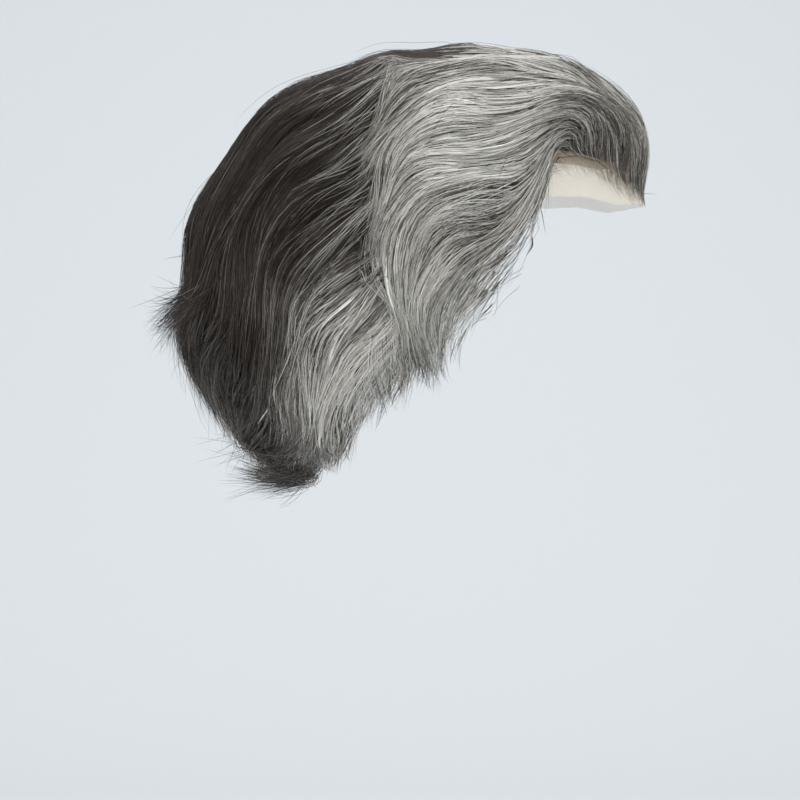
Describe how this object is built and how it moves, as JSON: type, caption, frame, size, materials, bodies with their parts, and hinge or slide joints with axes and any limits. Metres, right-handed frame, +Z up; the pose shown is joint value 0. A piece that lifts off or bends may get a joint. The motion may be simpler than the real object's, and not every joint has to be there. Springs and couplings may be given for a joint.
{
  "type": "toupee hairpiece",
  "caption": "Short wavy hairpiece on a thin full cap with a sheer lace front: silver swept back over the front and temples, dark brown over the crown and nape, open below for a head.",
  "frame": {"origin": "where the crown of the head meets the inside of the cap, in the middle of the head", "axes": "+X forward, towards the face; +Y towards the wearer's left; +Z up"},
  "size_m": [0.2294, 0.19, 0.2086],
  "materials": {
    "cap_net": "fine stretch net, beige brown, matt",
    "lace": "sheer lace, skin coloured, slightly glossy",
    "hair_silver": "silver grey hair mixed with dark strands, silky",
    "hair_ash": "ash grey hair mixed with dark strands, silky",
    "hair_dark": "dark brown hair with a few grey strands, silky"
  },
  "bodies": {
    "root": {"base_cap": "cap_net", "lace_front": "lace", "front_hair": "hair_silver", "side_hair_right": "hair_silver", "side_hair_left": "hair_silver", "swirl_hair_right": "hair_ash", "swirl_hair_left": "hair_ash", "crown_hair": "hair_dark", "nape_hair": "hair_dark"}
  },
  "joints": []
}
